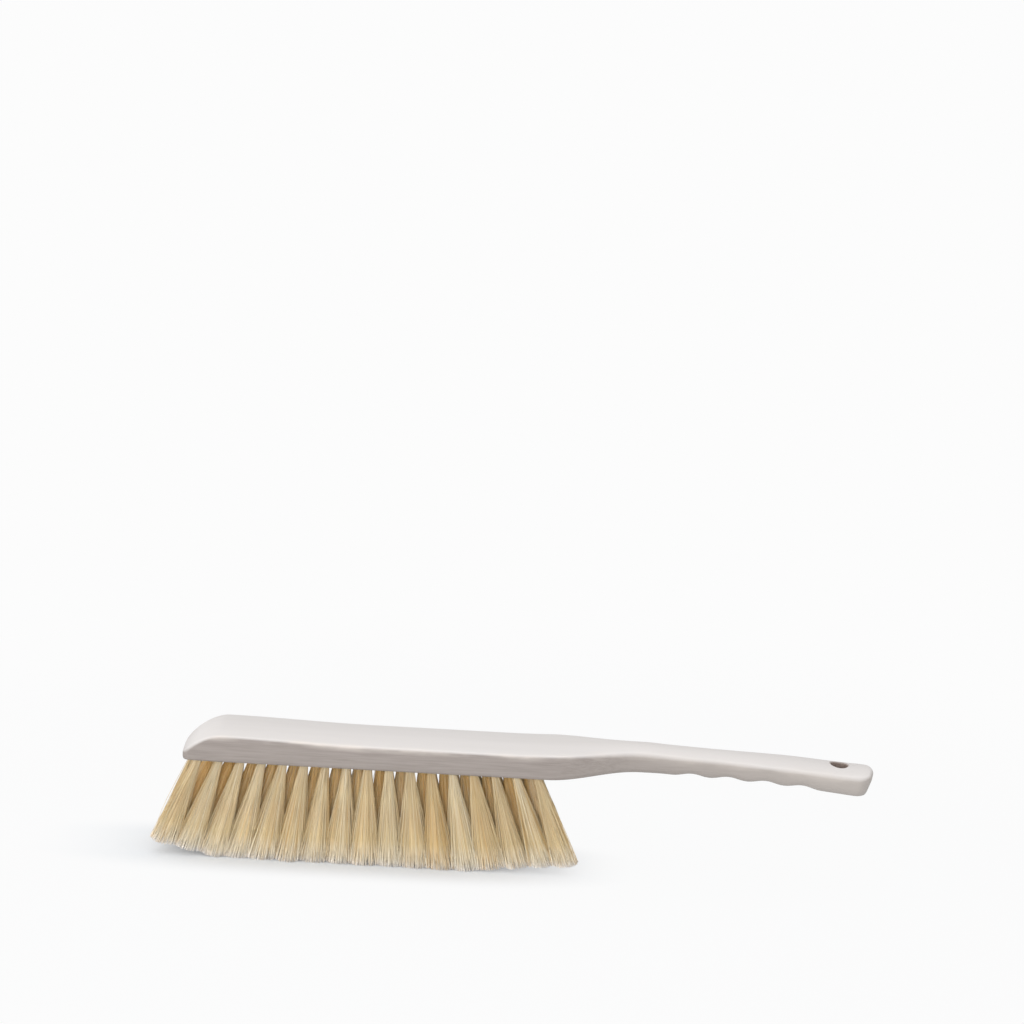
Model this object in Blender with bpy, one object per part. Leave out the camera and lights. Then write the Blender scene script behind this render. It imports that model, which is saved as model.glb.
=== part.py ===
"""Furniture brush: a block and handle cut from one piece of wood, set with three rows of bristle tufts.

Metres, +Z up. The brush stands on its bristle tips at z = 0. It lies along X with the handle at +X.
The origin is below the middle of the whole brush, halfway along its length and on its centre line.
"""

import math

import bmesh
import bpy
from mathutils import Matrix, Vector

# Holes for the tufts, drilled into the underside in staggered rows
HOLES_IN_ROW = 17
HOLE_PITCH = 0.0117
ROW_PITCH = 0.0105
MIDDLE_ROW_SHIFT = 0.0006
BACK_ROW_SHIFT = -0.0024
HOLE_DIAMETER = 0.005
HOLE_DEPTH = 0.0075
HOLE_SIDES = 10
FIT_GAP = 0.0003

# Bristles, from the underside of the block to the trimmed tips
BRISTLE_HEIGHT = 0.0568
TIP_PITCH = 0.01411
TIP_ROW_PITCH = 0.0118
TIP_GAP = 0.0015
TIP_FLAT_TO_NOSE = 0.083
TIP_FLAT_TO_HEEL = 0.058
TIP_RISE_AT_NOSE = 0.0078
TIP_RISE_AT_HEEL = 0.0062
BOUND_LENGTH = 0.0022
STRANDS_IN_RING = 8
STRAND_SIDES = 3
STRAND_ROOT_RADIUS = 0.00048
STRAND_TIP_RADIUS = 0.0017
RING_ROOT_SHARE = 0.7

# Block
BLOCK_WIDTH = 0.0408
BLOCK_EDGE = 0.0135
BLOCK_CROWN = 0.0028
BLOCK_EDGE_RADIUS = 0.002
NOSE_WALL = 0.0084
NOSE_LENGTH = 0.021
NOSE_LIP = 0.0024
NOSE_POWER = 1.85
NOSE_CORNER_RADIUS = 0.0045
NOSE_BOW = 0.0003
NOSE_EDGE_RADIUS = 0.0025
SHOULDER_RISE = 0.0016
HEEL_WALL = 0.0074

# Handle, from the end of the block to the hanging end
TAPER_LENGTH = 0.0508
HOLLOW_LEAD = 0.0025
NECK_WIDTH = 0.022
NECK_RISE = 0.0019
NECK_HOLLOW = 0.0036
NECK_LENGTH = 0.0174
SCALLOPS = 4
SCALLOP_PITCH = 0.0205
SCALLOP_DEPTH = 0.0017
GRIP_RISE = 0.0010
GRIP_DROP = 0.0016
FIRST_CREST_RISE = 0.0033
LAST_CREST_RISE = 0.0013
END_LENGTH = 0.0501
END_WIDTH = 0.0267
END_DROP = 0.0045
END_FOOT = 0.0027
END_CORNER_RADIUS = 0.0085
END_EDGE_RADIUS = 0.0035
END_RAKE = 0.0040
HANDLE_CROWN = 0.0036
HANDLE_EDGE_RADIUS = 0.0045
HANG_HOLE_DIAMETER = 0.0094
HANG_HOLE_FROM_END = 0.0192
HANG_HOLE_SIDES = 20

# How finely the wood is divided
CORNER_STEPS = 3
CROWN_STEPS = 3
NOSE_STEPS = 9
BLOCK_STEPS = 8
TAPER_STEPS = 9
STEPS_PER_SCALLOP = 8
END_STEPS = 14
EDGE_RADIUS_LIMIT_SHARE = 0.42
OVERRUN = 0.01

# Lines that follow from the sizes above
HALF_ROW = HOLE_PITCH * (HOLES_IN_ROW - 1) / 2
TIP_HALF_LENGTH = (TIP_PITCH - TIP_GAP) / 2
TIP_HALF_WIDTH = (TIP_ROW_PITCH - TIP_GAP) / 2
TIP_REACH = TIP_PITCH * (HOLES_IN_ROW - 1) / 2 + TIP_HALF_LENGTH
GRIP_LENGTH = SCALLOP_PITCH * (SCALLOPS - 1)
HANDLE_REACH = HALF_ROW + HEEL_WALL + TAPER_LENGTH + NECK_LENGTH + GRIP_LENGTH + END_LENGTH
BLOCK_X = (TIP_REACH - HANDLE_REACH) / 2
NOSE_X = BLOCK_X - HALF_ROW - NOSE_WALL
TAPER_X = BLOCK_X + HALF_ROW + HEEL_WALL
NECK_X = TAPER_X + TAPER_LENGTH
FIRST_CREST_X = NECK_X + NECK_LENGTH
LAST_CREST_X = FIRST_CREST_X + GRIP_LENGTH
END_X = LAST_CREST_X + END_LENGTH
HANG_HOLE_X = END_X - HANG_HOLE_FROM_END
UNDERSIDE_Z = BRISTLE_HEIGHT
BLOCK_TOP_Z = UNDERSIDE_Z + BLOCK_EDGE + BLOCK_CROWN

WOOD_COLOUR = (0.70, 0.66, 0.63, 1.0)
BRISTLE_COLOURS = {
    "front": (0.62, 0.49, 0.30, 1.0),
    "middle": (0.52, 0.40, 0.24, 1.0),
    "back": (0.58, 0.45, 0.28, 1.0),
}
WOOD_ROUGHNESS = 0.62
BRISTLE_ROUGHNESS = 0.5


def clear_scene():
    """Remove what the open file holds."""
    for thing in list(bpy.data.objects):
        bpy.data.objects.remove(thing)


def material(name, colour, roughness):
    """One Principled material."""
    made = bpy.data.materials.new(name)
    made.use_nodes = True
    shader = made.node_tree.nodes["Principled BSDF"]
    shader.inputs["Base Color"].default_value = colour
    shader.inputs["Roughness"].default_value = roughness
    shader.inputs["Metallic"].default_value = 0.0
    return made


def add_object(name, mesh, made, parent=None):
    """Put a mesh in the scene under its own name and material."""
    thing = bpy.data.objects.new(name, mesh)
    bpy.context.scene.collection.objects.link(thing)
    if made:
        mesh.materials.append(made)
    thing.parent = parent
    return thing


def smooth_through(x, points):
    """Value at x of a smooth line through (place, value) points, with no hump between them."""
    if x <= points[0][0]:
        return points[0][1]
    if x >= points[-1][0]:
        return points[-1][1]
    slopes = [(b[1] - a[1]) / (b[0] - a[0]) for a, b in zip(points, points[1:])]
    i = next(k for k in range(len(slopes)) if x <= points[k + 1][0])
    start, end = points[i], points[i + 1]
    length = end[0] - start[0]
    t = (x - start[0]) / length
    at_start = shared_slope(slopes[i - 1] if i else 0, slopes[i])
    at_end = shared_slope(slopes[i], slopes[i + 1] if i + 1 < len(slopes) else 0)
    rise = end[1] - start[1]
    ease = t * t * (3 - 2 * t)
    lead = t * (1 - t) * (1 - t) * at_start - t * t * (1 - t) * at_end
    return start[1] + rise * ease + length * lead


def shared_slope(before, after):
    """Slope at a point from the slopes on both sides, level where they disagree."""
    if before * after <= 0:
        return 0
    return 2 * before * after / (before + after)


def corner_ease(distance, radius):
    """How far a rounded corner of this radius stands back at a distance from its end."""
    left = max(0, radius - distance)
    return radius - math.sqrt(max(0, radius * radius - left * left))


def half_width(x):
    """Half the width of the wood at x, seen from above."""
    wide = smooth_through(
        x,
        (
            (TAPER_X, BLOCK_WIDTH / 2),
            (NECK_X, NECK_WIDTH / 2),
            (FIRST_CREST_X + SCALLOP_PITCH, NECK_WIDTH / 2),
            (LAST_CREST_X + SCALLOP_PITCH / 2, END_WIDTH / 2),
        ),
    )
    nose = corner_ease(x - NOSE_X, NOSE_CORNER_RADIUS)
    end = corner_ease(END_X - x, END_CORNER_RADIUS)
    return wide - nose - end


def full_crown(x):
    """Crown of the top, clear of the nose."""
    return smooth_through(x, ((TAPER_X, BLOCK_CROWN), (NECK_X, HANDLE_CROWN)))


def crown(x):
    """How much higher the middle of the top is than its edges, half as much at the tip of the nose."""
    nose_share = min(1, max(0, (x - NOSE_X) / NOSE_LENGTH))
    return full_crown(x) * (1 + nose_share) / 2


def top_edge(x):
    """Height of the crease between side and top."""
    line = smooth_through(
        x,
        (
            (NOSE_X + NOSE_LENGTH, BLOCK_TOP_Z + SHOULDER_RISE),
            (BLOCK_X, BLOCK_TOP_Z),
            (TAPER_X - TAPER_LENGTH / 2, BLOCK_TOP_Z),
            (NECK_X, BLOCK_TOP_Z + NECK_RISE),
            (FIRST_CREST_X, BLOCK_TOP_Z + GRIP_RISE),
            (LAST_CREST_X, BLOCK_TOP_Z - GRIP_DROP),
            (END_X, BLOCK_TOP_Z - END_DROP),
        ),
    )
    from_nose = max(0, 1 - (x - NOSE_X) / NOSE_LENGTH)
    nose = (BLOCK_EDGE - NOSE_LIP) * from_nose ** NOSE_POWER
    end = corner_ease(END_X - x, END_EDGE_RADIUS)
    return line - full_crown(x) - nose - end


def underside(x):
    """Height of the bottom of the wood."""
    line = smooth_through(
        x,
        (
            (TAPER_X - HOLE_DIAMETER / 2, UNDERSIDE_Z),
            (NECK_X - HOLLOW_LEAD, UNDERSIDE_Z + NECK_HOLLOW),
            (NECK_X + NECK_LENGTH / 2, UNDERSIDE_Z + NECK_HOLLOW),
            (FIRST_CREST_X, UNDERSIDE_Z + FIRST_CREST_RISE),
            (LAST_CREST_X, UNDERSIDE_Z + LAST_CREST_RISE),
            (END_X, UNDERSIDE_Z - END_FOOT),
        ),
    )
    nose = corner_ease(x - NOSE_X, min(BLOCK_EDGE_RADIUS, NOSE_LIP / 2))
    end = corner_ease(END_X - x, BLOCK_EDGE_RADIUS)
    return line + scallop(x) + nose + end


def scallop(x):
    """Finger scallops, hollowed upwards out of the line of the underside."""
    share = (x - FIRST_CREST_X) / SCALLOP_PITCH
    if share <= 0 or share >= SCALLOPS:
        return 0
    return SCALLOP_DEPTH * math.sin(math.pi * share) ** 2


def edge_radius(x):
    """Radius of the long edges, larger round the nose and along the handle."""
    return smooth_through(
        x,
        (
            (NOSE_X, NOSE_EDGE_RADIUS),
            (NOSE_X + NOSE_LENGTH, BLOCK_EDGE_RADIUS),
            (TAPER_X, BLOCK_EDGE_RADIUS),
            (NECK_X, HANDLE_EDGE_RADIUS),
        ),
    )


def section(x):
    """Points around the wood at x, from one bottom corner over the top to the other."""
    wide = half_width(x)
    low = underside(x)
    crease = top_edge(x)
    high = crown(x)
    radius = min(edge_radius(x), EDGE_RADIUS_LIMIT_SHARE * (crease - low), EDGE_RADIUS_LIMIT_SHARE * wide)
    right = []
    for step in range(CORNER_STEPS + 1):
        turn = math.pi / 2 * step / CORNER_STEPS
        right.append((wide - radius + radius * math.sin(turn), low + radius - radius * math.cos(turn)))
    slope = math.atan(2 * high * (wide - radius) / (wide * wide))
    inner = wide - radius + radius * math.sin(slope)
    centre = crease + high * (1 - (inner / wide) ** 2) - radius * math.cos(slope)
    for step in range(CORNER_STEPS + 1):
        turn = (math.pi / 2 - slope) * step / CORNER_STEPS
        right.append((wide - radius + radius * math.cos(turn), centre + radius * math.sin(turn)))
    for step in range(1, CROWN_STEPS):
        y = inner * (1 - step / CROWN_STEPS)
        right.append((y, crease + high * (1 - (y / wide) ** 2)))
    top = [(0, crease + high)]
    return right + top + [(-y, z) for y, z in reversed(right)]


def bowed(x, y, z, points):
    """Place of a section's point, with the nose bowed forward and the hanging end raked."""
    wide = max(p[0] for p in points)
    low = min(p[1] for p in points)
    high = max(p[1] for p in points)
    near_nose = max(0, 1 - (x - NOSE_X) / NOSE_LENGTH)
    near_end = max(0, 1 - (END_X - x) / HANG_HOLE_FROM_END)
    bow = NOSE_BOW * near_nose * (1 - (y / wide) ** 2)
    rake = END_RAKE * near_end * (high - z) / (high - low)
    return x - bow - rake, y, z


def stations():
    """Places along X where the wood has a section, closer together where it turns."""
    places = []
    for step in range(NOSE_STEPS):
        share = step / NOSE_STEPS
        places.append(NOSE_X + NOSE_LENGTH * share * share)
    straight = TAPER_X - TAPER_LENGTH / 2 - NOSE_X - NOSE_LENGTH
    for step in range(BLOCK_STEPS):
        places.append(NOSE_X + NOSE_LENGTH + straight * step / BLOCK_STEPS)
    start = TAPER_X - TAPER_LENGTH / 2
    for step in range(TAPER_STEPS):
        places.append(start + (NECK_X - start) * step / TAPER_STEPS)
    grip_start = FIRST_CREST_X
    places.append(NECK_X)
    places.append((NECK_X + grip_start) / 2)
    count = SCALLOPS * STEPS_PER_SCALLOP
    for step in range(count):
        places.append(grip_start + SCALLOPS * SCALLOP_PITCH * step / count)
    grip_end = grip_start + SCALLOPS * SCALLOP_PITCH
    for step in range(END_STEPS + 1):
        turn = math.pi / 2 * step / END_STEPS
        places.append(grip_end + (END_X - grip_end) * math.sin(turn))
    return places


def wood_mesh():
    """Closed skin through all sections."""
    made = bmesh.new()
    rings = []
    for x in stations():
        points = section(x)
        rings.append([made.verts.new(bowed(x, y, z, points)) for y, z in points])
    for before, after in zip(rings, rings[1:]):
        for i in range(len(before)):
            j = (i + 1) % len(before)
            made.faces.new((before[i], before[j], after[j], after[i]))
    made.faces.new(rings[0])
    made.faces.new(rings[-1])
    bmesh.ops.recalc_face_normals(made, faces=made.faces)
    mesh = bpy.data.meshes.new("block_and_handle")
    made.to_mesh(mesh)
    made.free()
    return mesh


def tufts():
    """Row, number, mouth of the hole and middle of the tips for each tuft."""
    found = []
    rows = (
        ("front", HOLES_IN_ROW, -1, 0),
        ("middle", HOLES_IN_ROW - 1, 0, MIDDLE_ROW_SHIFT),
        ("back", HOLES_IN_ROW, 1, BACK_ROW_SHIFT),
    )
    for row, count, side, shift in rows:
        for number in range(count):
            along = number - (count - 1) / 2
            mouth_x = BLOCK_X + HOLE_PITCH * along + shift
            mouth = Vector((mouth_x, ROW_PITCH * side, UNDERSIDE_Z))
            near_nose = max(0, -2 * along / (HOLES_IN_ROW - 1))
            tip_x = BLOCK_X + TIP_PITCH * along + shift * (1 - near_nose * near_nose)
            tip = Vector((tip_x, TIP_ROW_PITCH * side, tip_height(tip_x)))
            found.append((row, number + 1, mouth, tip))
    return found


def tip_height(x):
    """Height of the trimmed tips: flat in the middle, so that the brush stands, and rising at the ends."""
    to_nose = x < BLOCK_X
    flat = TIP_FLAT_TO_NOSE if to_nose else TIP_FLAT_TO_HEEL
    rise = TIP_RISE_AT_NOSE if to_nose else TIP_RISE_AT_HEEL
    beyond = max(0, abs(x - BLOCK_X) - flat)
    share = beyond / (TIP_REACH - flat)
    return rise * share


def frame_along(axis):
    """Two directions square to an axis and to each other, the first one in the XZ plane."""
    first = Vector((-axis.z, 0, axis.x)).normalized()
    return first, first.cross(axis)


def ring(made, centre, first, second, radius, sides, turn=0):
    """Points of a regular outline."""
    points = []
    for step in range(sides):
        angle = turn + 2 * math.pi * step / sides
        offset = first * math.cos(angle) + second * math.sin(angle)
        points.append(made.verts.new(centre + offset * radius))
    return points


def join_rings(made, before, after):
    """Sides between two outlines."""
    for i in range(len(before)):
        j = (i + 1) % len(before)
        made.faces.new((before[i], before[j], after[j], after[i]))


def strand_places():
    """Middle and ring of strands, on a circle of radius 1."""
    places = [(0, 0)]
    for step in range(STRANDS_IN_RING):
        angle = 2 * math.pi * step / STRANDS_IN_RING
        places.append((math.cos(angle), math.sin(angle)))
    return places


def tuft_mesh(name, mouth, tip):
    """A tuft about the mouth of its hole: the bound root, and the strands that leave it."""
    axis = (tip - mouth).normalized()
    first, second = frame_along(axis)
    root_radius = HOLE_DIAMETER / 2 - FIT_GAP
    root_ring = RING_ROOT_SHARE * root_radius
    made = bmesh.new()
    upper = ring(made, -axis * (HOLE_DEPTH - FIT_GAP), first, second, root_radius, HOLE_SIDES)
    lower = ring(made, axis * BOUND_LENGTH, first, second, root_radius, HOLE_SIDES)
    made.faces.new(upper)
    join_rings(made, upper, lower)
    roots = []
    for u, v in strand_places():
        turn = math.atan2(v, u)
        place = axis * BOUND_LENGTH + (first * u + second * v) * root_ring
        roots.append(ring(made, place, first, second, STRAND_ROOT_RADIUS, STRAND_SIDES, turn))
        tips = strand_tip(made, mouth, tip, u, v, turn)
        join_rings(made, roots[-1], tips)
        made.faces.new(tips)
    fill_round(made, lower, roots, axis)
    bmesh.ops.recalc_face_normals(made, faces=made.faces)
    mesh = bpy.data.meshes.new(name)
    made.to_mesh(mesh)
    made.free()
    return mesh


def strand_tip(made, mouth, tip, u, v, turn):
    """Trimmed end of one strand, on the line of all tips."""
    middle_x = tip.x + u * (TIP_HALF_LENGTH - STRAND_TIP_RADIUS)
    middle_y = tip.y + v * (TIP_HALF_WIDTH - STRAND_TIP_RADIUS)
    points = []
    for step in range(STRAND_SIDES):
        angle = turn + 2 * math.pi * step / STRAND_SIDES
        x = middle_x + STRAND_TIP_RADIUS * math.cos(angle)
        y = middle_y + STRAND_TIP_RADIUS * math.sin(angle)
        points.append(made.verts.new(Vector((x, y, tip_height(x))) - mouth))
    return points


def fill_round(made, outline, holes, axis):
    """Face of the bound root round the strands."""
    edges = []
    for loop in [outline] + holes:
        for i in range(len(loop)):
            edges.append(made.edges.get((loop[i - 1], loop[i])))
    bmesh.ops.triangle_fill(made, use_beauty=True, use_dissolve=False, edges=edges, normal=axis)


def add_cut(mesh, name, wood):
    """Subtract a hidden cutter from the wood."""
    cutter = add_object(name, mesh, None)
    cutter.hide_render = True
    cutter.display_type = "WIRE"
    cut = wood.modifiers.new(name, "BOOLEAN")
    cut.operation = "DIFFERENCE"
    cut.solver = "EXACT"
    cut.object = cutter


def tuft_holes_mesh(places):
    """All tuft holes, each along its own tuft."""
    made = bmesh.new()
    for row, number, mouth, tip in places:
        axis = (tip - mouth).normalized()
        first, second = frame_along(axis)
        deep = mouth - axis * HOLE_DEPTH
        out = mouth + axis * OVERRUN
        inner = ring(made, deep, first, second, HOLE_DIAMETER / 2, HOLE_SIDES)
        outer = ring(made, out, first, second, HOLE_DIAMETER / 2, HOLE_SIDES)
        join_rings(made, inner, outer)
        made.faces.new(inner)
        made.faces.new(outer)
    bmesh.ops.recalc_face_normals(made, faces=made.faces)
    mesh = bpy.data.meshes.new("tuft_holes")
    made.to_mesh(mesh)
    made.free()
    return mesh


def hang_hole_mesh():
    """Cutter for the hole to hang the brush by."""
    made = bmesh.new()
    bmesh.ops.create_cone(
        made,
        cap_ends=True,
        segments=HANG_HOLE_SIDES,
        radius1=HANG_HOLE_DIAMETER / 2,
        radius2=HANG_HOLE_DIAMETER / 2,
        depth=BLOCK_TOP_Z - UNDERSIDE_Z + 2 * OVERRUN,
        matrix=Matrix.Translation((HANG_HOLE_X, 0, (BLOCK_TOP_Z + UNDERSIDE_Z) / 2)),
    )
    mesh = bpy.data.meshes.new("hang_hole")
    made.to_mesh(mesh)
    made.free()
    return mesh


def main():
    clear_scene()
    brush = bpy.data.objects.new("brush", None)
    bpy.context.scene.collection.objects.link(brush)
    places = tufts()

    wood = add_object(
        "block_and_handle",
        wood_mesh(),
        material("whitewashed_wood", WOOD_COLOUR, WOOD_ROUGHNESS),
        brush,
    )
    add_cut(tuft_holes_mesh(places), "tuft_holes", wood)
    add_cut(hang_hole_mesh(), "hang_hole", wood)
    wood.data.shade_smooth()
    wood.data.set_sharp_from_angle(angle=math.radians(40))

    for row, number, mouth, tip in places:
        name = f"tuft_{row}_{number:02d}"
        made = material(f"{name}_bristle", BRISTLE_COLOURS[row], BRISTLE_ROUGHNESS)
        tuft = add_object(name, tuft_mesh(name, mouth, tip), made, brush)
        tuft.location = mouth


main()
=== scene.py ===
"""Furniture brush: the finely finished wood, the bristles fibre by fibre, and the studio round them.

Metres, +Z up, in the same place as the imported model. The brush stands on its bristle tips at z = 0.
"""

import math
import random

import bmesh
import bpy
from mathutils import Matrix, Vector


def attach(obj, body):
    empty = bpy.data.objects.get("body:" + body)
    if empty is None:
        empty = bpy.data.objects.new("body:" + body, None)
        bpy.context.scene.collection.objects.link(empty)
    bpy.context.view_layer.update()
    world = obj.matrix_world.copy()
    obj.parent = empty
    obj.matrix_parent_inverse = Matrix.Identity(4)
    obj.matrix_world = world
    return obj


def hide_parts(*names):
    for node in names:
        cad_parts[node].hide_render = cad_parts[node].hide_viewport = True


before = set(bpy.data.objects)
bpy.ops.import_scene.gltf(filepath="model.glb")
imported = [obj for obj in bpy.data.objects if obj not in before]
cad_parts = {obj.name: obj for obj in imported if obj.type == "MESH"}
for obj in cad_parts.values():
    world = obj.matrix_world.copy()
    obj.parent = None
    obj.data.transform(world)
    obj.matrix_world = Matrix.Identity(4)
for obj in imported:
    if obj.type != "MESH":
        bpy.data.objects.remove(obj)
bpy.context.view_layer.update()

# Holes for the tufts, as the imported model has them
HOLES_IN_ROW = 17
HOLE_PITCH = 0.0117
ROW_PITCH = 0.0105
MIDDLE_ROW_SHIFT = 0.0006
BACK_ROW_SHIFT = -0.0024
HOLE_DIAMETER = 0.005
HOLE_DEPTH = 0.0075
HOLE_SIDES = 24
FIT_GAP = 0.0003

# Bristles
BRISTLE_HEIGHT = 0.0568
TIP_PITCH = 0.01411
TIP_ROW_PITCH = 0.0118
TIP_GAP = 0.0015
TIP_FLAT_TO_NOSE = 0.083
TIP_FLAT_TO_HEEL = 0.058
TIP_RISE_AT_NOSE = 0.0078
TIP_RISE_AT_HEEL = 0.0062

# Block
BLOCK_WIDTH = 0.0408
BLOCK_EDGE = 0.0135
BLOCK_CROWN = 0.0028
BLOCK_EDGE_RADIUS = 0.002
NOSE_WALL = 0.0084
NOSE_LENGTH = 0.021
NOSE_LIP = 0.0024
NOSE_POWER = 1.85
NOSE_CORNER_RADIUS = 0.0045
NOSE_BOW = 0.0003
NOSE_EDGE_RADIUS = 0.0025
NOSE_UNDER_RADIUS = 0.0018
SHOULDER_RISE = 0.0016
HEEL_WALL = 0.0074

# Handle
TAPER_LENGTH = 0.0508
HOLLOW_LEAD = 0.0025
NECK_WIDTH = 0.022
NECK_RISE = 0.0019
NECK_HOLLOW = 0.0036
NECK_LENGTH = 0.0174
SCALLOPS = 4
SCALLOP_PITCH = 0.0205
SCALLOP_DEPTH = 0.0017
GRIP_RISE = 0.0010
GRIP_DROP = 0.0016
FIRST_CREST_RISE = 0.0033
LAST_CREST_RISE = 0.0013
END_LENGTH = 0.0501
END_WIDTH = 0.0267
END_DROP = 0.0045
END_FOOT = 0.0027
END_CORNER_RADIUS = 0.0085
END_EDGE_RADIUS = 0.0035
END_RAKE = 0.0040
HANDLE_CROWN = 0.0036
HANDLE_EDGE_RADIUS = 0.0045
HANG_HOLE_DIAMETER = 0.0094
HANG_HOLE_FROM_END = 0.0192
HANG_HOLE_SIDES = 64
HANG_HOLE_LIP = 0.0011
HANG_HOLE_LIP_STEPS = 6
HANG_HOLE_LIP_TURN = math.radians(78)

# How finely the wood is divided
CORNER_STEPS = 6
SIDE_STEPS = 5
CROWN_STEPS = 12
NOSE_STEPS = 26
BLOCK_STEPS = 40
TAPER_STEPS = 30
NECK_STEPS = 9
STEPS_PER_SCALLOP = 18
END_STEPS = 40
EDGE_RADIUS_LIMIT_SHARE = 0.42
OVERRUN = 0.01
SHARP_ANGLE = math.radians(38)

# Lines that follow from the sizes above
HALF_ROW = HOLE_PITCH * (HOLES_IN_ROW - 1) / 2
TIP_HALF_LENGTH = (TIP_PITCH - TIP_GAP) / 2
TIP_HALF_WIDTH = (TIP_ROW_PITCH - TIP_GAP) / 2
TIP_REACH = TIP_PITCH * (HOLES_IN_ROW - 1) / 2 + TIP_HALF_LENGTH
GRIP_LENGTH = SCALLOP_PITCH * (SCALLOPS - 1)
HANDLE_REACH = HALF_ROW + HEEL_WALL + TAPER_LENGTH + NECK_LENGTH + GRIP_LENGTH + END_LENGTH
BLOCK_X = (TIP_REACH - HANDLE_REACH) / 2
NOSE_X = BLOCK_X - HALF_ROW - NOSE_WALL
TAPER_X = BLOCK_X + HALF_ROW + HEEL_WALL
NECK_X = TAPER_X + TAPER_LENGTH
FIRST_CREST_X = NECK_X + NECK_LENGTH
LAST_CREST_X = FIRST_CREST_X + GRIP_LENGTH
END_X = LAST_CREST_X + END_LENGTH
HANG_HOLE_X = END_X - HANG_HOLE_FROM_END
UNDERSIDE_Z = BRISTLE_HEIGHT
BLOCK_TOP_Z = UNDERSIDE_Z + BLOCK_EDGE + BLOCK_CROWN

# Fibres: each is folded in half round the staple, so that it has two ends
FOLDED_FIBRES = 190
FIBRE_SIDES = 3
FIBRE_RADIUS = 0.00015
FIBRE_TIP_RADIUS = 0.00019
TAPERED_SHARE = 0.95
BUNDLE_RADIUS = HOLE_DIAMETER / 2 - FIT_GAP
FOLD_CLEARANCE = 0.0004
FOLD_DEPTH = HOLE_DEPTH - FIT_GAP - FOLD_CLEARANCE
FOLD_RISE = 0.001
FOLD_ROUNDING = 0.0012
STAPLE_DEPTH = 0.0060
FOLD_POINTS = 5
FREE_STATIONS = (0, 0.05, 0.16, 0.32, 0.50, 0.68, 0.85, TAPERED_SHARE, 1)
FLARE_POWER = 1.08
INNER_FLARE_POWER = 0.87
FLARE_VARIETY = 0.10
TIP_SPREAD = 1.50
SPREAD_VARIETY = 0.15
END_TUCK = 0.0035
LOCKS = 15
LOCK_PULL = 0.05
BEND = 0.0007
WAVE = 0.00014
LENGTH_LOSS = 0.0004
TUFT_BULGE = 0.0009
STRAY_SHARE = 0.025
STRAY_REACH = 0.0022
PARTING = 0.00025
SHADES = 24
# Fibres towards the sides of a tuft are made darker: painted shade
SIDE_SHADE_FROM = 0.55
SIDE_PAINTED_SHADE = 0.22

# Chance differences between tufts, locks and fibres
GOLDEN_TURN = math.pi * (3 - math.sqrt(5))
BUNDLE_FILL = 0.985
PARTING_VARIETY = (0.2, 1.5)
SWEEP = 0.0006
TIP_SCATTER = 0.06
WAVE_TURNS = (1.2, 2.6)
LOCK_TURN = 0.35
LOCK_PULL_VARIETY = (0.3, 1.4)
LOCK_SHADE_SPREAD = 0.5
LOCK_SHADE_SHARE = 0.42
TUFT_SHADE_SPREAD = 0.16
FIBRE_SHADE_SPREAD = 0.36
TOP_SHADE = 0.999

# Flat map of a tuft: a strip for each shade, with the length of a fibre going up it
STRIP_LOW = 0.2
STRIP_HIGH = 0.8
MAP_FROM = 0.01
MAP_LENGTH = 0.98
MAP_TO = 0.99
FIBRE_CAP = 0.005
CORE_CAP = (0.3, 0.002)
CORE_MAP_FROM = (0.01, 0.02)

# Inner bundle of each tuft, in place of the fibres that are not made one by one
CORE_SHARE = 0.76
CORE_SIDES = 40
CORE_ROUGHNESS = 0.06
CORE_STATIONS = (-0.03, 0.05, 0.2, 0.35, 0.5, 0.64, 0.78, 0.88, 0.94, 0.965)
CORE_CLOSING_FROM = 0.78
CORE_CLOSED = 0.0004
CORE_SHADE = 0.42
CORE_SHADE_SPREAD = 0.2

# Staples
WIRE_RADIUS = 0.0003
WIRE_BEND = 2.2 * WIRE_RADIUS
STAPLE_SPAN = 0.0046
STAPLE_LEG = 0.0042
WIRE_SIDES = 8
WIRE_BEND_STEPS = 4

# Camera, set so that the brush falls where it does in the picture
PICTURE_SIZE = 1024
FOCAL_PIXELS = 2307.5
CAMERA_ELEVATION = math.radians(19.2)
CAMERA_ROLL = math.radians(3.17)
CAMERA_DISTANCE = 1.3
AIM = Vector((0, 0, 0.045))
AIM_PIXEL = (512.6, 787.3)
SENSOR_WIDTH = 36

# Bristle
BRISTLE_COLOURS = (
    (0.0, (0.700, 0.555, 0.345, 1)),
    (0.30, (0.765, 0.620, 0.370, 1)),
    (0.50, (0.770, 0.610, 0.360, 1)),
    (0.75, (0.800, 0.652, 0.385, 1)),
    (0.93, (0.945, 0.845, 0.66, 1)),
    (1.0, (0.985, 0.925, 0.86, 1)),
)
# Middle row: browner and darker, most at the root: painted shade for the gaps between the front tufts
INNER_SHADE_ROOT = (0.880, 0.590, 0.230, 1)
INNER_SHADE_LOW = (0.950, 0.740, 0.42, 1)
INNER_SHADE_FADE_FROM = 0.60
INNER_SHADE_FADE_TO = 0.95
DARK_FIBRE = (0.86, 0.73, 0.53, 1)
LIGHT_FIBRE = (0.985, 0.94, 0.80, 1)
LIGHT_FIBRE_SHARE = 0.5
FIBRE_ROUGHNESS = (0.5, 0.38)

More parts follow.
